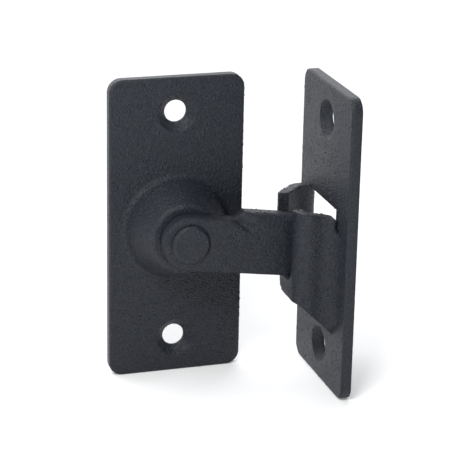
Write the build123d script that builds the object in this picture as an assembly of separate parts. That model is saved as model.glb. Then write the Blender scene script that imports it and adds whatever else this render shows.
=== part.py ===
"""Right-angle flip latch for a sliding barn door.

A base plate with a hollow boss carries a swinging arm on a shouldered rivet. The arm drops into
a keeper plate that stands at a right angle to the base plate and holds the arm by its hooked end.

Units are millimetres. The origin is the centre of the base plate's back face. X runs from the
base plate towards the keeper, Y runs from the room towards the door, and Z is up.
"""
import os
from math import cos, radians, sqrt, tan

from build123d import *

# Both plates
PLATE_WIDTH = 40.0
PLATE_HEIGHT = 90.0
PLATE_THICKNESS = 3.0
PLATE_CORNER_RADIUS = 4.0
PLATE_EDGE_BREAK = 0.4

# Screw holes, two in each plate
HOLE_END_DISTANCE = 10.5
HOLE_DIAMETER = 6.5
SINK_DIAMETER = 11.4
SINK_ANGLE = 90.0

# Hollow boss of the base plate
BOSS_HEIGHT = 10.8
BOSS_BASE_RADIUS = 15.6
BOSS_TOP_RADIUS = 10.0
BOSS_FOOT_ROUND = 2.0
BOSS_RIM_ROUND = 1.6
BOSS_MOUTH_BREAK = 1.2

# Shouldered rivet
RIVET_HEAD_DIAMETER = 11.4
RIVET_HEAD_HEIGHT = 1.2
RIVET_HEAD_CHAMFER = 0.8
SHOULDER_DIAMETER = 7.0
TAIL_DIAMETER = 5.0
TAIL_HEAD_DIAMETER = 8.6
TAIL_HEAD_HEIGHT = 1.5
TAIL_HEAD_BREAK = 0.8
RIVET_RUNNING_FIT = 0.05
RIVET_SEAT_FIT = 0.02
ARM_FACE_PLAY = 0.1

# Arm, as it lies level before it is turned down by its droop
ARM_THICKNESS = 4.5
ARM_DROOP = 8.0
EYE_RADIUS = 7.9
BLADE_RISE = 2.4
BLADE_RISE_START = 12.4
BLADE_RISE_END = 15.0
BLADE_TOP_ROUND = 2.2
HOOK_LENGTH = 4.0
HOOK_EDGE_ROUND = 1.0
HOOK_TIP_ROUND = 2.4
HOOK_BACK_ROUND = 1.5
HOOK_SIDE_PLAY = 0.4
HOOK_SWING_PLAY = 0.45

# Scoop in the face of the arm, where the blade grows out of the eye
SCOOP_DEPTH = 2.2
SCOOP_START = 11.2
SCOOP_LENGTH = 6.8
SCOOP_DROP = 4.2
SCOOP_RUN_OUT = 9.5

# Keeper plate: where it stands
KEEPER_STANDOFF = 19.7

# Keeper: window and the two walls that stand out in front of it
WINDOW_TOP = 10.6
ROOT_STRIP = 4.6
WINDOW_CORNER_RADIUS = 1.5
WALL_DEPTH = 11.1

# Near wall: its lower edge sweeps down to the plate, its upper edge dips beside the plate
NEAR_BEND_RADIUS = 5.0
NEAR_LOW_APEX = 17.6
NEAR_FOOT_MARGIN = 1.4
NEAR_SWEEP_START = 1.0
NEAR_TOE_RISE = 7.0
NEAR_TOP = 9.5
NEAR_TOP_DIP = 1.3
NEAR_ROOT_RADIUS = 5.0
WINDOW_NEAR_STEP = 1.2
RELIEF_WIDTH = 0.9
RELIEF_REACH = 1.0
RELIEF_LOW = 4.2

# Seat at the end of the near wall: the arm drops in from above and rests on it
SLOT_NEAR_ROOM = 4.6
SLOT_CORNER_RADIUS = 3.0
SEAT_OVERHANG = 0.4
SEAT_CORNER_RADIUS = 3.6
SEAT_GAP = 0.15

# Far wall: square to the plate at its root, slanted towards the arm at its end
FAR_WALL_ROOM = 3.0
FAR_WALL_FLAT = 1.2
FAR_WALL_SLANT = 7.0
FAR_WALL_KNEE_RADIUS = 4.0
FAR_ROOT_RADIUS = 1.0
FAR_STRIP = 3.2
FAR_WALL_LOW = 11.0
FAR_WALL_TOP = 10.6

# Distance between a plate's two screw holes
hole_spacing = PLATE_HEIGHT - 2 * HOLE_END_DISTANCE

# Planes that the pieces share, measured along Y
plate_front = -PLATE_THICKNESS
boss_top = plate_front - BOSS_HEIGHT
arm_back = boss_top - ARM_FACE_PLAY
arm_front = arm_back - ARM_THICKNESS
rivet_head_seat = arm_front - ARM_FACE_PLAY
boss_inner_top = boss_top + PLATE_THICKNESS

# Keeper planes, measured along X and Y
keeper_front = PLATE_WIDTH / 2 + KEEPER_STANDOFF
keeper_back = keeper_front + PLATE_THICKNESS
keeper_centre = arm_front
keeper_near_edge = keeper_centre - PLATE_WIDTH / 2
keeper_far_edge = keeper_centre + PLATE_WIDTH / 2
near_root = keeper_near_edge + ROOT_STRIP
far_root = keeper_far_edge - FAR_STRIP
wall_outer = keeper_front - WALL_DEPTH
wall_inner = wall_outer + PLATE_THICKNESS
near_wall_outer = near_root + NEAR_ROOT_RADIUS
near_wall_inner = near_wall_outer + PLATE_THICKNESS
window_near = near_wall_outer + WINDOW_NEAR_STEP
far_wall_outer = far_root - FAR_ROOT_RADIUS
far_wall_end = arm_back + FAR_WALL_ROOM
slot_near_side = arm_front - SLOT_NEAR_ROOM
seat_end = arm_back + SEAT_OVERHANG

# The near wall's foot ends just above the lower countersink
near_low_plate = (hole_spacing - SINK_DIAMETER) / 2 - NEAR_FOOT_MARGIN

# The hook's inner face just clears the near wall's top corner while it swings up
hook_face = near_wall_inner + HOOK_SIDE_PLAY
hook_inner = sqrt(wall_inner ** 2 + NEAR_TOP ** 2) + HOOK_SWING_PLAY
hook_outer = hook_inner + HOOK_LENGTH

# The seat's height follows the underside of the drooping arm
droop_slope = tan(radians(ARM_DROOP))
arm_underside = EYE_RADIUS / cos(radians(ARM_DROOP)) + wall_inner * droop_slope
seat_height = -arm_underside - SEAT_GAP


def plate_body(plane: Plane) -> Part:
    """Gives a rounded plate whose back face lies in the plane and whose front edge is broken."""
    body = extrude(plane * RectangleRounded(PLATE_WIDTH, PLATE_HEIGHT, PLATE_CORNER_RADIUS), PLATE_THICKNESS)
    front_face = body.faces().sort_by(Axis(plane.origin, plane.z_dir))[-1]
    return chamfer(front_face.edges(), PLATE_EDGE_BREAK)


def screw_hole(mouth: Plane) -> Part:
    """Gives the cutter of one countersunk screw hole, whose mouth lies in the plane."""
    sink_depth = (SINK_DIAMETER - HOLE_DIAMETER) / 2 / tan(radians(SINK_ANGLE / 2))
    bore = Cylinder(HOLE_DIAMETER / 2, 3 * PLATE_THICKNESS)
    below_mouth = (Align.CENTER, Align.CENTER, Align.MAX)
    sink = Cone(HOLE_DIAMETER / 2, SINK_DIAMETER / 2, sink_depth, align=below_mouth)
    return mouth * (bore + sink)


def screw_holes(centre: Vector, outward: Vector) -> list:
    """Gives the cutters of one plate's two screw holes."""
    cutters = []
    for side in (-1, 1):
        place = centre + Vector(0, 0, side * hole_spacing / 2)
        cutters.append(screw_hole(Plane(origin=place, z_dir=outward)))
    return cutters


def boss_outer() -> Part:
    """Gives the boss as a solid of revolution about the pivot axis, with its rim rounded."""
    with BuildSketch(Plane.XY) as section:
        with BuildLine():
            Polyline(
                (0, 0),
                (BOSS_BASE_RADIUS, 0),
                (BOSS_BASE_RADIUS, plate_front),
                (BOSS_TOP_RADIUS, boss_top),
                (0, boss_top),
                close=True,
            )
        make_face()
        rim = section.vertices().filter_by(lambda v: v.Y < boss_top + 0.01 and v.X > 0.01)
        fillet(rim, BOSS_RIM_ROUND)
    return revolve(section.sketch, Axis.Y)


def boss_cavity() -> Part:
    """Gives the hollow behind the boss, which follows the outside at one plate thickness."""
    flank_slope = (BOSS_BASE_RADIUS - BOSS_TOP_RADIUS) / BOSS_HEIGHT
    wall_across = PLATE_THICKNESS * sqrt(1 + flank_slope ** 2)
    mouth_radius = BOSS_BASE_RADIUS - wall_across + PLATE_THICKNESS * flank_slope
    inner_radius = BOSS_BASE_RADIUS - wall_across - (plate_front - boss_inner_top) * flank_slope
    with BuildSketch(Plane.XY) as section:
        with BuildLine():
            Polyline(
                (0, 0),
                (mouth_radius, 0),
                (inner_radius, boss_inner_top),
                (0, boss_inner_top),
                close=True,
            )
        make_face()
    return revolve(section.sketch, Axis.Y)


def make_base_plate() -> Part:
    """Gives the base plate: a plate with a hollow boss, two screw holes and the rivet's hole."""
    body = plate_body(Plane.XZ) + boss_outer()
    foot = body.edges().filter_by(GeomType.CIRCLE).filter_by(
        lambda e: abs(e.radius - BOSS_BASE_RADIUS) < 0.01 and abs(e.center().Y - plate_front) < 0.01
    )
    body = fillet(foot, BOSS_FOOT_ROUND)
    body = body - boss_cavity()
    mouth = body.edges().filter_by(GeomType.CIRCLE).filter_by(
        lambda e: abs(e.center().Y) < 0.01 and e.radius > BOSS_TOP_RADIUS
    )
    body = chamfer(mouth, BOSS_MOUTH_BREAK)
    rivet_hole = Cylinder(TAIL_DIAMETER / 2 + RIVET_SEAT_FIT, 2 * PLATE_THICKNESS)
    body = body - Plane(origin=(0, (boss_top + boss_inner_top) / 2, 0), z_dir=(0, -1, 0)) * rivet_hole
    for cutter in screw_holes(Vector(0, plate_front, 0), Vector(0, -1, 0)):
        body = body - cutter
    return body


def make_pivot_rivet() -> Part:
    """Gives the rivet: flat head, shoulder for the arm, tail through the boss, peened end."""
    head_face = rivet_head_seat - RIVET_HEAD_HEIGHT
    tail_end = boss_inner_top + TAIL_HEAD_HEIGHT
    head_radius = RIVET_HEAD_DIAMETER / 2
    shoulder_radius = SHOULDER_DIAMETER / 2
    tail_radius = TAIL_DIAMETER / 2
    tail_head_radius = TAIL_HEAD_DIAMETER / 2
    with BuildSketch(Plane.XY) as section:
        with BuildLine():
            Polyline(
                (0, head_face),
                (head_radius - RIVET_HEAD_CHAMFER, head_face),
                (head_radius, head_face + RIVET_HEAD_CHAMFER),
                (head_radius, rivet_head_seat),
                (shoulder_radius, rivet_head_seat),
                (shoulder_radius, boss_top),
                (tail_radius, boss_top),
                (tail_radius, boss_inner_top),
                (tail_head_radius, boss_inner_top),
                (tail_head_radius, tail_end),
                (0, tail_end),
                close=True,
            )
        make_face()
        corner = section.vertices().filter_by(lambda v: v.Y > tail_end - 0.01 and v.X > 0.01)
        chamfer(corner, TAIL_HEAD_BREAK)
    return revolve(section.sketch, Axis.Y)


def arm_outline(end: float) -> Sketch:
    """Gives the arm's outline from the room: round eye, straight underside, raised blade."""
    blade_top = EYE_RADIUS + BLADE_RISE
    with BuildSketch(Plane.XZ.offset(-arm_back)) as outline:
        Circle(EYE_RADIUS)
        with BuildLine():
            Polyline(
                (0, -EYE_RADIUS),
                (end, -EYE_RADIUS),
                (end, blade_top),
                (BLADE_RISE_END, blade_top),
                (BLADE_RISE_START, EYE_RADIUS),
                (0, EYE_RADIUS),
                close=True,
            )
        make_face()
    return outline.sketch


def arm_hook() -> Part:
    """Gives the hook at the arm's end, which is turned to the room, at more than its full height."""
    with BuildSketch(Plane.XY) as plan:
        with BuildLine():
            Polyline(
                (hook_inner, hook_face),
                (hook_outer, hook_face),
                (hook_outer, arm_back),
                (hook_inner, arm_back),
                close=True,
            )
        make_face()
        fillet(plan.vertices().sort_by_distance((hook_inner, hook_face))[0], HOOK_TIP_ROUND)
        fillet(plan.vertices().sort_by_distance((hook_outer, hook_face))[0], HOOK_EDGE_ROUND)
        fillet(plan.vertices().sort_by_distance((hook_outer, arm_back))[0], HOOK_BACK_ROUND)
    return extrude(plan.sketch, 3 * EYE_RADIUS, both=True)


def arm_scoop() -> Part:
    """Gives the wedge that is scooped out of the arm's face beside the eye's upper corner."""
    past = 3 * BLADE_RISE
    start = Vector(SCOOP_START, arm_front, EYE_RADIUS)
    low = start + Vector(SCOOP_LENGTH, 0, -SCOOP_DROP)
    above = start + Vector(-past * SCOOP_LENGTH / SCOOP_DROP, 0, past)
    far = start + Vector(SCOOP_RUN_OUT, 0, past)
    deep = start + Vector(0, SCOOP_DEPTH, 0)
    before_face = Vector(0, -ARM_THICKNESS, 0)
    lid = make_face(Polyline(low + before_face, far + before_face, above + before_face, close=True))
    block = extrude(lid, amount=3 * ARM_THICKNESS, dir=(0, 1, 0))
    to_far = far - low
    outward = to_far.cross(deep - low)
    if outward.Y > 0:
        outward = -outward
    return split(block, bisect_by=Plane(origin=low, x_dir=to_far, z_dir=outward), keep=Keep.TOP)


def make_latch_arm() -> Part:
    """Gives the arm, turned down about the pivot until it lies in the keeper's seat."""
    middle = (hook_inner + hook_outer) / 2
    body = extrude(arm_outline(middle), ARM_THICKNESS)
    top_front = body.edges().filter_by(Axis.X).filter_by(
        lambda e: abs(e.center().Y - arm_front) < 0.01 and e.center().Z > EYE_RADIUS + BLADE_RISE / 2
    )
    body = fillet(top_front, BLADE_TOP_ROUND)
    body = body + (arm_hook() & extrude(arm_outline(hook_outer), arm_back - hook_face))
    body = body - arm_scoop()
    bore = Cylinder(SHOULDER_DIAMETER / 2 + RIVET_RUNNING_FIT, 3 * ARM_THICKNESS)
    body = body - Plane(origin=(0, (arm_front + arm_back) / 2, 0), z_dir=(0, -1, 0)) * bore
    return Rot(0, ARM_DROOP, 0) * body


def window_cutter() -> Part:
    """Gives the cutter of the window, which reaches to where the two walls bend out of the plate."""
    with BuildSketch(Plane.YZ.offset(keeper_front - PLATE_THICKNESS)) as window:
        with BuildLine():
            Polyline(
                (window_near, WINDOW_TOP),
                (far_root, WINDOW_TOP),
                (far_root, -FAR_WALL_LOW),
                (window_near, -near_low_plate + PLATE_THICKNESS),
                (near_root, -near_low_plate + PLATE_THICKNESS + NEAR_TOE_RISE),
                (near_root, RELIEF_LOW),
                (window_near, RELIEF_LOW),
                close=True,
            )
        make_face()
        corners = [(window_near, WINDOW_TOP), (far_root, WINDOW_TOP), (far_root, -FAR_WALL_LOW)]
        fillet([window.vertices().sort_by_distance(c)[0] for c in corners], WINDOW_CORNER_RADIUS)
    return extrude(window.sketch, 3 * PLATE_THICKNESS)


def near_wall_plan() -> Sketch:
    """Gives the near wall from above: it bends out of the plate and turns at the apex."""
    in_strip = near_root - ROOT_STRIP / 4
    with BuildSketch(Plane.XY) as plan:
        with BuildLine():
            Polyline(
                (keeper_front, in_strip),
                (keeper_front, near_wall_outer),
                (wall_outer, near_wall_outer),
                (wall_outer, seat_end),
                (wall_inner, seat_end),
                (wall_inner, near_wall_inner),
                (keeper_back, near_wall_inner),
                (keeper_back, in_strip),
                close=True,
            )
        make_face()
        bends = [
            (keeper_front, near_wall_outer, NEAR_ROOT_RADIUS),
            (wall_outer, near_wall_outer, NEAR_BEND_RADIUS),
            (wall_inner, near_wall_inner, NEAR_BEND_RADIUS - PLATE_THICKNESS),
            (keeper_back, near_wall_inner, NEAR_ROOT_RADIUS + PLATE_THICKNESS),
        ]
        for x, y, radius in bends:
            fillet(plan.vertices().sort_by_distance((x, y))[0], radius)
    return plan.sketch


def near_wall_from_room() -> Part:
    """Gives the near wall's limits as seen from the room: level apex, swept foot, dipped top."""
    sweep_start = wall_outer + NEAR_SWEEP_START
    with BuildSketch(Plane.XZ.offset(-keeper_far_edge)) as side:
        with BuildLine():
            Polyline(
                (keeper_back, NEAR_TOP - NEAR_TOP_DIP),
                (keeper_front, NEAR_TOP - NEAR_TOP_DIP),
                (wall_inner, NEAR_TOP),
                (wall_outer - NEAR_BEND_RADIUS, NEAR_TOP),
                (wall_outer - NEAR_BEND_RADIUS, -NEAR_LOW_APEX),
                (sweep_start, -NEAR_LOW_APEX),
                (keeper_front, -near_low_plate),
                (keeper_back, -near_low_plate),
                close=True,
            )
        make_face()
        fillet(side.vertices().sort_by_distance((sweep_start, -NEAR_LOW_APEX))[0], NEAR_BEND_RADIUS)
    return extrude(side.sketch, 2 * PLATE_WIDTH)


def near_wall_from_base() -> Part:
    """Gives the near wall's limits as seen from the base plate: the cheek and the seat beside it."""
    with BuildSketch(Plane.YZ) as end:
        with BuildLine():
            Polyline(
                (keeper_near_edge, NEAR_TOP),
                (slot_near_side, NEAR_TOP),
                (slot_near_side, seat_height),
                (seat_end, seat_height),
                (seat_end, -NEAR_LOW_APEX),
                (slot_near_side, -NEAR_LOW_APEX),
                (near_wall_inner, -near_low_plate),
                (near_wall_outer, -near_low_plate),
                (near_root, -near_low_plate + NEAR_TOE_RISE),
                (keeper_near_edge, -near_low_plate + NEAR_TOE_RISE),
                close=True,
            )
        make_face()
        fillet(end.vertices().sort_by_distance((slot_near_side, seat_height))[0], SLOT_CORNER_RADIUS)
        fillet(end.vertices().sort_by_distance((seat_end, -NEAR_LOW_APEX))[0], SEAT_CORNER_RADIUS)
    return extrude(end.sketch, 2 * keeper_back)


def near_wall() -> Part:
    """Gives the near wall with its seat, trimmed from both sides."""
    height = NEAR_TOP + near_low_plate
    wall = Pos(0, 0, -near_low_plate) * extrude(near_wall_plan(), height, dir=(0, 0, 1))
    return wall & near_wall_from_room() & near_wall_from_base()


def far_wall() -> Part:
    """Gives the far wall: it bends out of the plate, runs square, and slants to its cut end."""
    beyond = keeper_back + 2 * PLATE_THICKNESS
    slant_start = far_wall_end + FAR_WALL_FLAT
    in_strip = far_root + FAR_STRIP / 4
    with BuildSketch(Plane.XY) as outside:
        with BuildLine():
            Polyline(
                (beyond, keeper_far_edge),
                (keeper_front, keeper_far_edge),
                (keeper_front, far_wall_outer),
                (wall_outer + FAR_WALL_SLANT, far_wall_outer),
                (wall_outer, slant_start),
                (wall_outer, keeper_near_edge),
                (beyond, keeper_near_edge),
                close=True,
            )
        make_face()
        knee = outside.vertices().sort_by_distance((wall_outer + FAR_WALL_SLANT, far_wall_outer))[0]
        fillet(knee, FAR_WALL_KNEE_RADIUS)
        root = outside.vertices().sort_by_distance((keeper_front, far_wall_outer))[0]
        fillet(root, FAR_ROOT_RADIUS)
    ring = outside.sketch - offset(outside.sketch, -PLATE_THICKNESS)
    kept = Pos((wall_outer + keeper_back) / 2, (far_wall_end + in_strip) / 2) * Rectangle(
        keeper_back - wall_outer, in_strip - far_wall_end
    )
    return Pos(0, 0, -FAR_WALL_LOW) * extrude(ring & kept, FAR_WALL_LOW + FAR_WALL_TOP, dir=(0, 0, 1))


def relief_cutter() -> Part:
    """Gives the cutter of the slit that frees the near wall's upper part from the plate."""
    height = WINDOW_TOP - RELIEF_LOW
    inside = near_wall_inner + RELIEF_WIDTH
    from_corner = (Align.MIN, Align.MAX, Align.MIN)
    beside_plate = Pos(keeper_front - RELIEF_WIDTH, inside, RELIEF_LOW) * Box(
        RELIEF_WIDTH, inside - near_root, height, align=from_corner
    )
    through_plate = Pos(keeper_front, inside, RELIEF_LOW) * Box(
        2 * PLATE_THICKNESS, inside - window_near + RELIEF_REACH, height, align=from_corner
    )
    return beside_plate + through_plate


def make_keeper_plate() -> Part:
    """Gives the keeper: a plate like the base plate, with a window and the two walls before it."""
    back_plane = Plane(origin=(keeper_back, keeper_centre, 0), x_dir=(0, -1, 0), z_dir=(-1, 0, 0))
    body = plate_body(back_plane) - window_cutter()
    body = body + near_wall() + far_wall()
    body = body - relief_cutter()
    for cutter in screw_holes(Vector(keeper_front, keeper_centre, 0), Vector(-1, 0, 0)):
        body = body - cutter
    return body


pieces = {
    "base_plate": make_base_plate(),
    "pivot_rivet": make_pivot_rivet(),
    "latch_arm": make_latch_arm(),
    "keeper_plate": make_keeper_plate(),
}

os.makedirs("parts", exist_ok=True)
for name, shape in pieces.items():
    export_step(shape, f"parts/{name}.step")
    print(name, "volume", round(shape.volume, 1), "solids", len(shape.solids()))
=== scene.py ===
"""Looks of the barn door latch: sand-textured black powder coat, pale floor, soft light, camera.

The four CAD pieces keep their meshes. Each gets the powder coat, and fine grains of the coat are
scattered over the plates and the arm, but not over the plates' backs, the pivot and the seat. Lengths
are in metres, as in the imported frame.
"""

import logging
import math
from abc import ABC, abstractmethod
from dataclasses import dataclass
from enum import Enum
from typing import ClassVar

import bmesh
import bpy
from mathutils import Matrix, Vector

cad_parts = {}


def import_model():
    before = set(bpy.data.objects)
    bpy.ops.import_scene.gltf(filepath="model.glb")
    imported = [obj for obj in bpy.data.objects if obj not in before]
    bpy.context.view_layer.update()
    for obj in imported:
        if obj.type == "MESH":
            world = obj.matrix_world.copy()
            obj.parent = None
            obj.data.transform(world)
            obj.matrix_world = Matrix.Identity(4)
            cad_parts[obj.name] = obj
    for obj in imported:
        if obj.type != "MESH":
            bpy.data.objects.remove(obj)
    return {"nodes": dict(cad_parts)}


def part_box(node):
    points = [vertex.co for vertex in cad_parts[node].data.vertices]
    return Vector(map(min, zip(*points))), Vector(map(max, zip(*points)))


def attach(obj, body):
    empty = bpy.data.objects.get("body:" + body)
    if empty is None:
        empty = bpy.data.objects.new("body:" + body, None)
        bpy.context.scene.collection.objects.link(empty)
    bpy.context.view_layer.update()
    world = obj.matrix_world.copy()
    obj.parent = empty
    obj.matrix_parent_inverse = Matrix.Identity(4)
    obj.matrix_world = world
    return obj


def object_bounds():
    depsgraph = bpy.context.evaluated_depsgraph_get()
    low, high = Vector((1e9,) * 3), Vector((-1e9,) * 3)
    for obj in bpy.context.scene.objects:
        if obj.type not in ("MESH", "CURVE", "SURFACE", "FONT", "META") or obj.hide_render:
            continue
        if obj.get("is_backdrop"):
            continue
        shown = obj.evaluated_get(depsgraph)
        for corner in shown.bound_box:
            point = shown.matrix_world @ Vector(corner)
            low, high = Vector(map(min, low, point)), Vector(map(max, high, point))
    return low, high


LOG = logging.getLogger("barn_door_latch")
MM = 0.001
WHITE = (1.0, 1.0, 1.0)
Triple = tuple[float, float, float]

# Vertices of two CAD faces that lie this close are one vertex
SAME_POINT = 0.001 * MM

# Places of the float sockets on the random value node, whose names repeat for each data type
RANDOM_FLOAT_MIN = 2
RANDOM_FLOAT_MAX = 3
RANDOM_FLOAT_VALUE = 1


class Body(Enum):
    """The two rigid bodies of the latch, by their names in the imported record."""

    PLATES = "mounted_plates"
    ARM = "arm"


class Part(Enum):
    """The four CAD pieces of the latch, by the names of their nodes."""

    BASE = "base_plate"
    RIVET = "pivot_rivet"
    KEEPER = "keeper_plate"
    ARM = "latch_arm"


class Lamp(Enum):
    """The soft lights of the studio."""

    BEHIND = "window_behind"
    FRONT = "panel_front_above"
    BOX = "soft_box_upper_left"


@dataclass(frozen=True)
class Box:
    """A box along the frame's axes.

    Args:
        low: Its lowest corner.
        high: Its highest corner.
    """

    low: Vector
    high: Vector

    def grown(self, margin: float) -> "Box":
        """Gives the box with its sides moved out by a margin."""
        step = Vector((margin, margin, margin))
        return Box(self.low - step, self.high + step)

    def holds(self, point: Vector) -> bool:
        """Tells whether the point lies in the box or on its sides."""
        return all(self.low[i] <= point[i] <= self.high[i] for i in range(3))


@dataclass(frozen=True)
class Relief:
    """One noise in the coat's surface.

    Args:
        width: Width of one bump.
        height: Height of the bumps.
        detail: Number of finer layers in the noise.
        rough: Strength of each finer layer against the one before it.
    """

    width: float
    height: float
    detail: float
    rough: float


@dataclass(frozen=True)
class PowderCoat:
    """Black powder coat with a sand texture.

    Args:
        shade: Linear colour of the coat.
        speck: Linear colour of its paler specks.
        speck_start: Value of the sand noise at which a speck begins.
        speck_full: Value of the sand noise at which a speck has its full colour.
        roughness: Roughness of the coat between the raised grains.
        gloss: Specular level of the coat between the raised grains.
        crest_roughness: Roughness of the raised grains, which are a little smoother.
        crest_gloss: Specular level of the raised grains.
        sand: The sand texture.
        flow: The soft waves that the coat flowed into.
        edge_samples: Number of samples that round a sharp edge.
    """

    shade: Triple = (0.0105, 0.0130, 0.0190)
    speck: Triple = (0.028, 0.032, 0.041)
    speck_start: float = 0.45
    speck_full: float = 0.80
    roughness: float = 0.46
    gloss: float = 0.34
    crest_roughness: float = 0.36
    crest_gloss: float = 0.45
    sand: Relief = Relief(width=0.62 * MM, height=0.38 * MM, detail=2.0, rough=0.6)
    flow: Relief = Relief(width=1.9 * MM, height=0.06 * MM, detail=1.0, rough=0.5)
    edge_samples: int = 6

    def on_grains(self) -> bpy.types.Material:
        """Builds the coat of the raised grains, whose shape needs no bump.

        Returns:
            The material, with the coat's two shades mixed by the sand noise.
        """
        material = self._blank("black_coat_grain")
        tree = material.node_tree
        place = tree.nodes.new("ShaderNodeTexCoord")
        shader = self._shader(tree, self._noise(tree, place, self.sand))
        shader.inputs["Roughness"].default_value = self.crest_roughness
        shader.inputs["Specular IOR Level"].default_value = self.crest_gloss
        return material

    def on_part(self, part: Part, edge_radius: float) -> bpy.types.Material:
        """Builds the coat of one CAD piece, on Object coordinates.

        Args:
            part: The CAD piece.
            edge_radius: Radius that the coat gives to its sharp edges.

        Returns:
            The material, with sand and flow as bump on rounded edges.
        """
        material = self._blank(f"black_coat_{part.value}")
        tree = material.node_tree
        place = tree.nodes.new("ShaderNodeTexCoord")
        sand = self._noise(tree, place, self.sand)
        flow = self._noise(tree, place, self.flow)
        edge = tree.nodes.new("ShaderNodeBevel")
        edge.samples = self.edge_samples
        edge.inputs["Radius"].default_value = edge_radius
        waves = self._bump(tree, flow, self.flow.height, edge.outputs["Normal"])
        grit = self._bump(tree, sand, self.sand.height, waves.outputs["Normal"])
        shader = self._shader(tree, sand)
        tree.links.new(grit.outputs["Normal"], shader.inputs["Normal"])
        return material

    @staticmethod
    def _blank(name: str) -> bpy.types.Material:
        """Adds a material with nothing in it yet.

        Args:
            name: Name of the new material.

        Returns:
            The material, with an empty node tree.
        """
        material = bpy.data.materials.new(name)
        material.use_nodes = True
        material.node_tree.nodes.clear()
        return material

    def _shader(self, tree: bpy.types.NodeTree, sand: bpy.types.Node) -> bpy.types.Node:
        """Adds the coat's shader and its output.

        Args:
            tree: The material's node tree.
            sand: The noise that mixes the coat's two shades.

        Returns:
            The shader's node.
        """
        tint = tree.nodes.new("ShaderNodeValToRGB")
        tint.color_ramp.elements[0].position = self.speck_start
        tint.color_ramp.elements[0].color = (*self.shade, 1.0)
        tint.color_ramp.elements[1].position = self.speck_full
        tint.color_ramp.elements[1].color = (*self.speck, 1.0)
        tree.links.new(sand.outputs["Fac"], tint.inputs["Fac"])
        shader = tree.nodes.new("ShaderNodeBsdfPrincipled")
        shader.inputs["Roughness"].default_value = self.roughness
        shader.inputs["Specular IOR Level"].default_value = self.gloss
        tree.links.new(tint.outputs["Color"], shader.inputs["Base Color"])
        output = tree.nodes.new("ShaderNodeOutputMaterial")
        tree.links.new(shader.outputs["BSDF"], output.inputs["Surface"])
        return shader

    @staticmethod
    def _noise(tree: bpy.types.NodeTree, place: bpy.types.Node, relief: Relief) -> bpy.types.Node:
        """Adds the noise of a relief on Object coordinates.

        Args:
            tree: The material's node tree.
            place: Its texture coordinates.
            relief: The relief that the noise is for.

        Returns:
            The noise's node.
        """
        noise = tree.nodes.new("ShaderNodeTexNoise")
        noise.inputs["Scale"].default_value = 1.0 / relief.width
        noise.inputs["Detail"].default_value = relief.detail
        noise.inputs["Roughness"].default_value = relief.rough
        tree.links.new(place.outputs["Object"], noise.inputs["Vector"])
        return noise

    @staticmethod
    def _bump(
        tree: bpy.types.NodeTree, noise: bpy.types.Node, height: float, normal: bpy.types.NodeSocket
    ) -> bpy.types.Node:
        """Adds a bump over a normal.

        Args:
            tree: The material's node tree.
            noise: The noise that the bump follows.
            height: Height of the bump.
            normal: Output of the normal that it is added to.

        Returns:
            The bump's node.
        """
        bump = tree.nodes.new("ShaderNodeBump")
        bump.inputs["Strength"].default_value = 1.0
        bump.inputs["Distance"].default_value = height
        tree.links.new(noise.outputs["Fac"], bump.inputs["Height"])
        tree.links.new(normal, bump.inputs["Normal"])
        return bump


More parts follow.
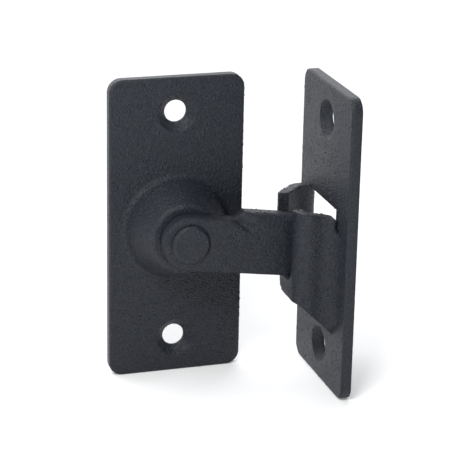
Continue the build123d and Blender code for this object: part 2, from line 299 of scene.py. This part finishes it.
@dataclass
class CoatGrains:
    """Raised sand grains of the powder coat on one body.

    Args:
        body: The body that the grains ride on.
        carriers: The CAD pieces that carry grains.
        bare: Boxes in which the surfaces stay free of grains.
        coat: The grains' material.
        room: The box that the grains stay inside.
        width: Width of a usual grain.
        flatness: Height of a grain as a part of its width.
        smallest: Smallest grain as a part of the usual width.
        largest: Largest grain as a part of the usual width.
        subdivisions: Fineness of a grain's ball. At 1 it has 20 faces.
        per_area: Number of grains on a square metre.
        seed: Fixed seed of the scatter.
    """

    body: Body
    carriers: tuple[Part, ...]
    bare: tuple[Box, ...]
    coat: bpy.types.Material
    room: Box
    width: float = 0.50 * MM
    flatness: float = 0.34
    smallest: float = 0.4
    largest: float = 1.6
    subdivisions: int = 1
    per_area: float = 0.80e6
    seed: int = 11

    def build(self, found: dict[str, bpy.types.Object]) -> bpy.types.Object:
        """Scatters the grains and bakes them into one plain mesh.

        Args:
            found: The CAD nodes as objects, by name.

        Returns:
            The grains of the body, riding on it.
        """
        scene = bpy.context.scene
        carrier = bpy.data.objects.new("grain_carrier", self._carrier_mesh(found))
        scene.collection.objects.link(carrier)
        sizes = self._sizes()
        tree = self._tree(sizes)
        scatter = carrier.modifiers.new("scatter", "NODES")
        scatter.node_group = tree
        for item in tree.interface.items_tree:
            if item.item_type == "SOCKET" and item.name in sizes:
                scatter[item.identifier] = sizes[item.name][1]
        graph = bpy.context.evaluated_depsgraph_get()
        mesh = bpy.data.meshes.new_from_object(carrier.evaluated_get(graph))
        bpy.data.objects.remove(carrier)
        mesh.name = f"coat_grains_{self.body.value}"
        grains = bpy.data.objects.new(mesh.name, mesh)
        scene.collection.objects.link(grains)
        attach(grains, self.body.value)
        LOG.info("%s: %d triangles", mesh.name, len(mesh.polygons))
        return grains

    def _carrier_mesh(self, found: dict[str, bpy.types.Object]) -> bpy.types.Mesh:
        """Gives the surfaces that the grains are scattered over.

        Args:
            found: The CAD nodes as objects, by name.

        Returns:
            The carriers' faces as one merged mesh, cut along the bare boxes and empty in them.
        """
        shell = bmesh.new()
        for part in self.carriers:
            shell.from_mesh(found[part.value].data)
        bmesh.ops.remove_doubles(shell, verts=shell.verts, dist=SAME_POINT)
        for corner in (corner for box in self.bare for corner in (box.low, box.high)):
            for axis in (Vector((1, 0, 0)), Vector((0, 1, 0)), Vector((0, 0, 1))):
                whole = [*shell.verts, *shell.edges, *shell.faces]
                bmesh.ops.bisect_plane(shell, geom=whole, plane_co=corner, plane_no=axis)
        shut = [face for face in shell.faces if self._is_bare(face)]
        bmesh.ops.delete(shell, geom=shut, context="FACES")
        mesh = bpy.data.meshes.new("grain_carrier")
        shell.to_mesh(mesh)
        shell.free()
        return mesh

    def _is_bare(self, face: bmesh.types.BMFace) -> bool:
        """Tells whether the face lies in one of the bare boxes."""
        middle = face.calc_center_median()
        return any(box.holds(middle) for box in self.bare)

    def _sizes(self) -> dict[str, tuple[str, object]]:
        """Gives the tree's named inputs, each with its socket type and its value.

        Returns:
            The inputs by name. Half Room is half of the room less half of the largest grain.
        """
        low, high = self.room.low, self.room.high
        reach = self.width * self.largest / 2
        return {
            "Grain Width": ("NodeSocketFloat", self.width),
            "Flatness": ("NodeSocketFloat", self.flatness),
            "Smallest": ("NodeSocketFloat", self.smallest),
            "Largest": ("NodeSocketFloat", self.largest),
            "Subdivisions": ("NodeSocketInt", self.subdivisions),
            "Per Area": ("NodeSocketFloat", self.per_area),
            "Seed": ("NodeSocketInt", self.seed),
            "Middle": ("NodeSocketVector", (low + high) / 2),
            "Half Room": ("NodeSocketVector", (high - low) / 2 - Vector((reach, reach, reach))),
        }

    def _tree(self, sizes: dict[str, tuple[str, object]]) -> bpy.types.GeometryNodeTree:
        """Builds the scatter: points on the faces and a flattened grain on each, realised and painted.

        Args:
            sizes: The tree's named inputs, each with its socket type and its value.

        Returns:
            The tree.
        """
        tree = bpy.data.node_groups.new(f"scatter_{self.body.value}", "GeometryNodeTree")
        tree.interface.new_socket("Geometry", in_out="INPUT", socket_type="NodeSocketGeometry")
        for name, (kind, _) in sizes.items():
            tree.interface.new_socket(name, in_out="INPUT", socket_type=kind)
        tree.interface.new_socket("Geometry", in_out="OUTPUT", socket_type="NodeSocketGeometry")
        given = tree.nodes.new("NodeGroupInput")
        points = tree.nodes.new("GeometryNodeDistributePointsOnFaces")
        tree.links.new(given.outputs["Geometry"], points.inputs["Mesh"])
        tree.links.new(given.outputs["Per Area"], points.inputs["Density"])
        tree.links.new(given.outputs["Seed"], points.inputs["Seed"])
        inside = tree.nodes.new("GeometryNodeDeleteGeometry")
        inside.domain = "POINT"
        tree.links.new(points.outputs["Points"], inside.inputs["Geometry"])
        tree.links.new(self._outside(tree, given), inside.inputs["Selection"])
        size = tree.nodes.new("FunctionNodeRandomValue")
        size.data_type = "FLOAT"
        tree.links.new(given.outputs["Smallest"], size.inputs[RANDOM_FLOAT_MIN])
        tree.links.new(given.outputs["Largest"], size.inputs[RANDOM_FLOAT_MAX])
        tree.links.new(given.outputs["Seed"], size.inputs["Seed"])
        placed = tree.nodes.new("GeometryNodeInstanceOnPoints")
        tree.links.new(inside.outputs["Geometry"], placed.inputs["Points"])
        tree.links.new(points.outputs["Rotation"], placed.inputs["Rotation"])
        tree.links.new(self._grain(tree, given), placed.inputs["Instance"])
        tree.links.new(size.outputs[RANDOM_FLOAT_VALUE], placed.inputs["Scale"])
        smooth = tree.nodes.new("GeometryNodeSetShadeSmooth")
        tree.links.new(placed.outputs["Instances"], smooth.inputs["Geometry"])
        realised = tree.nodes.new("GeometryNodeRealizeInstances")
        tree.links.new(smooth.outputs["Geometry"], realised.inputs["Geometry"])
        painted = tree.nodes.new("GeometryNodeSetMaterial")
        painted.inputs["Material"].default_value = self.coat
        tree.links.new(realised.outputs["Geometry"], painted.inputs["Geometry"])
        result = tree.nodes.new("NodeGroupOutput")
        tree.links.new(painted.outputs["Geometry"], result.inputs["Geometry"])
        return tree

    @staticmethod
    def _grain(tree: bpy.types.NodeTree, given: bpy.types.Node) -> bpy.types.NodeSocket:
        """Adds one usual grain: a ball, flattened along the normal of the face that it lies on.

        Args:
            tree: The scatter's tree.
            given: Its named inputs.

        Returns:
            The output that holds the grain.
        """
        half = tree.nodes.new("ShaderNodeMath")
        half.operation = "MULTIPLY"
        half.inputs[1].default_value = 0.5
        tree.links.new(given.outputs["Grain Width"], half.inputs[0])
        ball = tree.nodes.new("GeometryNodeMeshIcoSphere")
        tree.links.new(given.outputs["Subdivisions"], ball.inputs["Subdivisions"])
        tree.links.new(half.outputs[0], ball.inputs["Radius"])
        scale = tree.nodes.new("ShaderNodeCombineXYZ")
        scale.inputs["X"].default_value = 1.0
        scale.inputs["Y"].default_value = 1.0
        tree.links.new(given.outputs["Flatness"], scale.inputs["Z"])
        flat = tree.nodes.new("GeometryNodeTransform")
        tree.links.new(ball.outputs["Mesh"], flat.inputs["Geometry"])
        tree.links.new(scale.outputs["Vector"], flat.inputs["Scale"])
        return flat.outputs["Geometry"]

    @staticmethod
    def _outside(tree: bpy.types.NodeTree, given: bpy.types.Node) -> bpy.types.NodeSocket:
        """Adds the test whether a point lies outside the room.

        Args:
            tree: The scatter's tree.
            given: Its named inputs.

        Returns:
            The output that is true where the point is further from the middle than half of the room.
        """
        last = tree.nodes.new("GeometryNodeInputPosition").outputs["Position"]
        for operation, socket in (("SUBTRACT", "Middle"), ("ABSOLUTE", None), ("SUBTRACT", "Half Room")):
            step = tree.nodes.new("ShaderNodeVectorMath")
            step.operation = operation
            tree.links.new(last, step.inputs[0])
            if socket is not None:
                tree.links.new(given.outputs[socket], step.inputs[1])
            last = step.outputs["Vector"]
        past = tree.nodes.new("ShaderNodeSeparateXYZ")
        tree.links.new(last, past.inputs["Vector"])
        furthest = past.outputs["X"]
        for axis in ("Y", "Z"):
            larger = tree.nodes.new("ShaderNodeMath")
            larger.operation = "MAXIMUM"
            tree.links.new(furthest, larger.inputs[0])
            tree.links.new(past.outputs[axis], larger.inputs[1])
            furthest = larger.outputs[0]
        outside = tree.nodes.new("ShaderNodeMath")
        outside.operation = "GREATER_THAN"
        outside.inputs[1].default_value = 0.0
        tree.links.new(furthest, outside.inputs[0])
        return outside.outputs[0]


@dataclass
class CoatedAssembly(ABC):
    """The CAD pieces of one body, which get the powder coat and its raised grains.

    Args:
        found: The CAD nodes as objects, by name.
        wall: Thickness of the two plates and of the keeper's walls.
        skin: How far a bare box reaches past the surface that it keeps free of grains.
    """

    body: ClassVar[Body]
    carriers: ClassVar[tuple[Part, ...]]

    found: dict[str, bpy.types.Object]
    wall: float = 3.0 * MM
    skin: float = 0.05 * MM

    @abstractmethod
    def edges(self) -> dict[Part, float]:
        """Gives the pieces of the body, each with the radius that the coat gives its edges."""

    @abstractmethod
    def bare(self) -> tuple[Box, ...]:
        """Gives the boxes in which the surfaces stay free of grains."""

    def paint(self, coat: PowderCoat) -> None:
        """Gives each piece the coat in place of its plain material.

        Args:
            coat: The powder coat.
        """
        for part, edge_radius in self.edges().items():
            piece = self.found[part.value]
            piece.data.materials.clear()
            piece.data.materials.append(coat.on_part(part, edge_radius))
            LOG.info("painted %s of %s", part.value, self.body.value)

    def scatter(self, grain_coat: bpy.types.Material, room: Box) -> bpy.types.Object:
        """Builds the raised grains of the body.

        Args:
            grain_coat: The grains' material.
            room: The box that the grains stay inside.

        Returns:
            The grains, riding on the body.
        """
        grains = CoatGrains(self.body, self.carriers, self.bare(), grain_coat, room)
        return grains.build(self.found)


@dataclass
class MountedPlates(CoatedAssembly):
    """The base plate with the pivot rivet, and the keeper plate.

    Args:
        base_edge: Radius of the coat at the base plate's edges.
        rivet_edge: Radius of the coat at the rivet's edges.
        keeper_edge: Radius of the coat at the keeper plate's edges.
        top_reach: How far the boss's bare top reaches from the pivot.
        top_depth: How far it reaches down the boss's rim.
        bore_reach: How far the bare bore reaches from the pivot.
        seat_play: How far the bare seat reaches past the arm that lies in it.
    """

    body: ClassVar[Body] = Body.PLATES
    carriers: ClassVar[tuple[Part, ...]] = (Part.BASE, Part.KEEPER)

    base_edge: float = 0.7 * MM
    rivet_edge: float = 0.5 * MM
    keeper_edge: float = 1.2 * MM
    top_reach: float = 8.5 * MM
    top_depth: float = 0.5 * MM
    bore_reach: float = 4.25 * MM
    seat_play: float = 1.2 * MM

    def edges(self) -> dict[Part, float]:
        """Gives the three pieces of the body, each with the radius of the coat at its edges."""
        return {
            Part.BASE: self.base_edge,
            Part.RIVET: self.rivet_edge,
            Part.KEEPER: self.keeper_edge,
        }

    def bare(self) -> tuple[Box, ...]:
        """Gives the boxes free of grains.

        Returns:
            The base plate's back, the boss's top, its bore, the keeper's back and the seat.
        """
        base = Box(*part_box("base_plate"))
        keeper = Box(*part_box("keeper_plate"))
        rivet = Box(*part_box("pivot_rivet"))
        arm = Box(*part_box("latch_arm"))
        skin = self.skin
        top = self.top_reach
        bore = self.bore_reach
        play = self.seat_play
        base_back = Box(
            Vector((base.low.x, base.high.y - skin, base.low.z)),
            base.high + Vector((skin, skin, skin)),
        )
        boss_top = Box(
            Vector((-top, base.low.y - skin, -top)),
            Vector((top, base.low.y + self.top_depth, top)),
        )
        boss_bore = Box(
            Vector((-bore, base.low.y - skin, -bore)),
            Vector((bore, rivet.high.y, bore)),
        )
        keeper_back = Box(
            Vector((keeper.high.x - skin, keeper.low.y, keeper.low.z)),
            keeper.high,
        )
        seat = Box(
            Vector((keeper.low.x - skin, arm.low.y - play, arm.low.z - play)),
            Vector((keeper.low.x + self.wall + skin, arm.high.y + play, arm.high.z + play)),
        )
        return (base_back, boss_top, boss_bore, keeper_back, seat)


@dataclass
class LatchArm(CoatedAssembly):
    """The arm that turns on the rivet and drops into the keeper.

    Args:
        arm_edge: Radius of the coat at the arm's edges.
        eye_reach: How far the bare eye reaches from the pivot.
        slot_margin: How far the bare stretch reaches past the keeper's slot, along the arm.
    """

    body: ClassVar[Body] = Body.ARM
    carriers: ClassVar[tuple[Part, ...]] = (Part.ARM,)

    arm_edge: float = 1.7 * MM
    eye_reach: float = 8.0 * MM
    slot_margin: float = 0.5 * MM

    def edges(self) -> dict[Part, float]:
        """Gives the one piece of the body with the radius of the coat at its edges."""
        return {Part.ARM: self.arm_edge}

    def bare(self) -> tuple[Box, ...]:
        """Gives the boxes free of grains.

        Returns:
            The eye, and the stretch that lies in the keeper's slot.
        """
        arm = Box(*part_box("latch_arm"))
        keeper = Box(*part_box("keeper_plate"))
        eye = Box(
            Vector((-self.eye_reach, arm.low.y, -self.eye_reach)),
            Vector((self.eye_reach, arm.high.y, self.eye_reach)),
        )
        stretch = Box(
            Vector((keeper.low.x - self.slot_margin, arm.low.y, arm.low.z)),
            Vector((keeper.low.x + self.wall + self.slot_margin, arm.high.y, arm.high.z)),
        )
        return (eye.grown(self.skin), stretch.grown(self.skin))


@dataclass(frozen=True)
class PaleFloor:
    """Plain pale floor that the two plates stand on.

    Args:
        reach: Half of the floor's side.
        shade: Linear grey of the floor.
        roughness: Roughness of the floor.
        gloss: Specular level of the floor, which mirrors nothing.
        glow: Light that shines up through it, as through a light table.
    """

    reach: float = 6.0
    shade: float = 0.90
    roughness: float = 0.9
    gloss: float = 0.0
    glow: float = 0.15

    def build(self, height: float) -> bpy.types.Object:
        """Builds the floor at a height.

        Args:
            height: Height of the floor's surface.

        Returns:
            The floor, marked as stage.
        """
        corners = [(-1, -1), (1, -1), (1, 1), (-1, 1)]
        mesh = bpy.data.meshes.new("pale_floor")
        mesh.from_pydata([(x * self.reach, y * self.reach, height) for x, y in corners], [], [(0, 1, 2, 3)])
        mesh.materials.append(self._finish())
        floor = bpy.data.objects.new("pale_floor", mesh)
        bpy.context.scene.collection.objects.link(floor)
        floor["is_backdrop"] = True
        return floor

    def _finish(self) -> bpy.types.Material:
        """Builds the floor's finish.

        Returns:
            The material, which is matt, pale and faintly glowing.
        """
        material = bpy.data.materials.new("pale_floor")
        material.use_nodes = True
        shader = material.node_tree.nodes["Principled BSDF"]
        shader.inputs["Base Color"].default_value = (self.shade, self.shade, self.shade, 1.0)
        shader.inputs["Roughness"].default_value = self.roughness
        shader.inputs["Specular IOR Level"].default_value = self.gloss
        shader.inputs["Emission Color"].default_value = (*WHITE, 1.0)
        shader.inputs["Emission Strength"].default_value = self.glow
        return material


@dataclass(frozen=True)
class SoftLight:
    """One wide soft light, far enough away to light the floor evenly.

    Args:
        lamp: Which light of the studio this is.
        towards: Direction from the latch to the light.
        spread: Width of the light as seen from the latch, in degrees.
        strength: Its strength.
    """

    lamp: Lamp
    towards: Triple
    spread: float
    strength: float

    def build(self) -> bpy.types.Object:
        """Builds the light.

        Returns:
            The light, marked as stage.
        """
        data = bpy.data.lights.new(self.lamp.value, "SUN")
        data.angle = math.radians(self.spread)
        data.energy = self.strength
        light = bpy.data.objects.new(self.lamp.value, data)
        bpy.context.scene.collection.objects.link(light)
        light.rotation_euler = Vector(self.towards).to_track_quat("Z", "Y").to_euler()
        light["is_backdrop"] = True
        return light


@dataclass(frozen=True)
class SoftBox:
    """A square soft box near the latch, whose light falls off down the plates.

    Args:
        lamp: Which light of the studio this is.
        place: Where it hangs.
        side: Length of its side.
        power: Its power in watts.
    """

    lamp: Lamp
    place: Triple
    side: float
    power: float

    def build(self) -> bpy.types.Object:
        """Builds the light, turned to the pivot.

        Returns:
            The light, marked as stage.
        """
        data = bpy.data.lights.new(self.lamp.value, "AREA")
        data.shape = "SQUARE"
        data.size = self.side
        data.energy = self.power
        light = bpy.data.objects.new(self.lamp.value, data)
        bpy.context.scene.collection.objects.link(light)
        light.location = self.place
        light.rotation_euler = Vector(self.place).to_track_quat("Z", "Y").to_euler()
        light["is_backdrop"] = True
        return light


@dataclass(frozen=True)
class Studio:
    """White surroundings, pale floor, two soft lights and a soft box.

    Args:
        room: Brightness of the surroundings in front of the latch, as they light it.
        wall: Brightness of the surroundings behind the latch, as they light it.
        backdrop: Brightness of the surroundings as they are seen.
        glow: Direction from the latch to the brightest surroundings.
        room_until: Part of the glow in a direction, from -1 to 1, up to which the room's brightness holds.
        wall_from: Part of the glow in a direction, from -1 to 1, from which the wall's brightness holds.
        tint: Colour of the light from the surroundings.
        floor: The pale floor.
        lights: The soft lights and the soft box.
    """

    room: float = 0.16
    wall: float = 0.80
    backdrop: float = 1.0
    glow: Triple = (-0.10, 0.95, 0.10)
    room_until: float = -0.2
    wall_from: float = 0.8
    tint: Triple = (0.96, 0.985, 1.03)
    floor: PaleFloor = PaleFloor()
    lights: tuple[SoftLight | SoftBox, ...] = (
        SoftLight(Lamp.BEHIND, towards=(-0.20, 0.90, 0.75), spread=90.0, strength=2.5),
        SoftLight(Lamp.FRONT, towards=(-0.30, -0.80, 0.80), spread=60.0, strength=0.30),
        SoftBox(Lamp.BOX, place=(-0.10, -0.17, 0.20), side=0.11, power=0.62),
    )

    def build(self, floor_height: float) -> None:
        """Builds the surroundings, the floor and the lights.

        Args:
            floor_height: Height of the surface that the latch stands on.
        """
        bpy.context.scene.world = self._surroundings()
        bpy.context.scene.view_settings.view_transform = "Standard"
        self.floor.build(floor_height)
        for light in self.lights:
            light.build()

    def _surroundings(self) -> bpy.types.World:
        """Builds surroundings that look evenly white and light the latch mostly from behind.

        Returns:
            The world, whose background is one shade to the camera and another to all other rays.
        """
        world = bpy.data.worlds.new("white_surroundings")
        world.use_nodes = True
        tree = world.node_tree
        tree.nodes.clear()
        lit = tree.nodes.new("ShaderNodeBackground")
        lit.inputs["Color"].default_value = (*self.tint, 1.0)
        tree.links.new(self._brightness(tree), lit.inputs["Strength"])
        seen = tree.nodes.new("ShaderNodeBackground")
        seen.inputs["Color"].default_value = (*WHITE, 1.0)
        seen.inputs["Strength"].default_value = self.backdrop
        ray = tree.nodes.new("ShaderNodeLightPath")
        mix = tree.nodes.new("ShaderNodeMixShader")
        tree.links.new(ray.outputs["Is Camera Ray"], mix.inputs[0])
        tree.links.new(lit.outputs["Background"], mix.inputs[1])
        tree.links.new(seen.outputs["Background"], mix.inputs[2])
        output = tree.nodes.new("ShaderNodeOutputWorld")
        tree.links.new(mix.outputs["Shader"], output.inputs["Surface"])
        return world

    def _brightness(self, tree: bpy.types.NodeTree) -> bpy.types.NodeSocket:
        """Adds the brightness that rises from the room's to the wall's along the glow.

        Args:
            tree: The world's node tree.

        Returns:
            The output that holds the brightness.
        """
        direction = tree.nodes.new("ShaderNodeTexCoord")
        facing = tree.nodes.new("ShaderNodeVectorMath")
        facing.operation = "DOT_PRODUCT"
        facing.inputs[1].default_value = self.glow
        tree.links.new(direction.outputs["Generated"], facing.inputs[0])
        depth = tree.nodes.new("ShaderNodeMapRange")
        depth.inputs["From Min"].default_value = self.room_until
        depth.inputs["From Max"].default_value = self.wall_from
        depth.inputs["To Min"].default_value = self.room
        depth.inputs["To Max"].default_value = self.wall
        tree.links.new(facing.outputs["Value"], depth.inputs["Value"])
        return depth.outputs["Result"]


@dataclass(frozen=True)
class PhotoCamera:
    """Camera at the photograph's place, fitted to the two plates.

    Args:
        place: Where the camera stands.
        azimuth: Turn of its line of sight from the Y axis towards the X axis, in degrees.
        elevation: How far it looks down from level, in degrees.
        roll: Turn about its own line of sight, in degrees.
        focal_pixels: Focal length in pixels of the photograph.
        frame_pixels: Width of the photograph in pixels.
        sensor: Width of the sensor in millimetres.
        nearest: Nearest distance that it sees.
    """

    place: Triple = (-0.146363, -0.512531, 0.185347)
    azimuth: float = 17.879
    elevation: float = 19.471
    roll: float = 1.256
    focal_pixels: float = 1929.05
    frame_pixels: float = 470.0
    sensor: float = 36.0
    nearest: float = 0.01

    def build(self) -> bpy.types.Object:
        """Builds the camera and makes it the scene's camera.

        Returns:
            The camera.
        """
        data = bpy.data.cameras.new("photo_camera")
        data.sensor_width = self.sensor
        data.lens = self.sensor * self.focal_pixels / self.frame_pixels
        data.clip_start = self.nearest
        camera = bpy.data.objects.new("photo_camera", data)
        bpy.context.scene.collection.objects.link(camera)
        camera.matrix_world = Matrix.Translation(Vector(self.place)) @ self._turn()
        bpy.context.scene.camera = camera
        return camera

    def _turn(self) -> Matrix:
        """Works out how the camera is turned.

        Returns:
            The turn, whose columns are the camera's right, up and back.
        """
        azimuth, elevation, roll = (math.radians(a) for a in (self.azimuth, self.elevation, self.roll))
        back = Vector(
            (
                -math.sin(azimuth) * math.cos(elevation),
                -math.cos(azimuth) * math.cos(elevation),
                math.sin(elevation),
            )
        )
        level = Vector((math.cos(azimuth), -math.sin(azimuth), 0.0))
        above = back.cross(level)
        right = math.cos(roll) * level + math.sin(roll) * above
        up = math.cos(roll) * above - math.sin(roll) * level
        return Matrix((right, up, back)).transposed().to_4x4()


def main() -> None:
    """Builds the latch's looks and the studio."""
    logging.basicConfig(level=logging.INFO, format="%(name)s: %(message)s")
    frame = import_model()
    cad_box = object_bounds()
    coat = PowderCoat()
    grain_coat = coat.on_grains()
    assemblies = (MountedPlates(frame["nodes"]), LatchArm(frame["nodes"]))
    for assembly in assemblies:
        assembly.paint(coat)
    room = Box(*cad_box)
    for assembly in assemblies:
        assembly.scatter(grain_coat, room)
    low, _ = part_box("base_plate")
    Studio().build(low.z)
    PhotoCamera().build()


if __name__ == "__main__":
    main()
